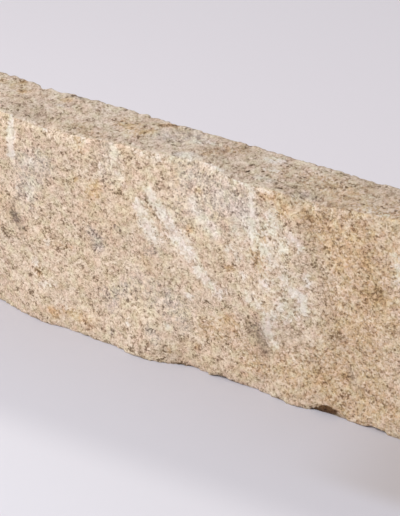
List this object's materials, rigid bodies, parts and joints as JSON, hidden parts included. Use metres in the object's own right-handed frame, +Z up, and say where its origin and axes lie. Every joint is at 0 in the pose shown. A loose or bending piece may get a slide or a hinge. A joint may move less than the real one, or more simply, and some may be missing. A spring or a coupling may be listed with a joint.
{
  "type": "granite kerb stone",
  "caption": "Straight split-faced granite kerb stone, a long upright block that stands on its narrow level bed and edges a path or lawn.",
  "frame": {"origin": "middle of the bed, the level underside that the stone stands on", "axes": "+X along the stone, +Z up, -Y out of the front face that carries the tool marks"},
  "size_m": [1.0036, 0.0958, 0.2525],
  "materials": {
    "granite": "matte"
  },
  "bodies": {
    "root": {"kerb_stone": "granite"}
  },
  "joints": []
}
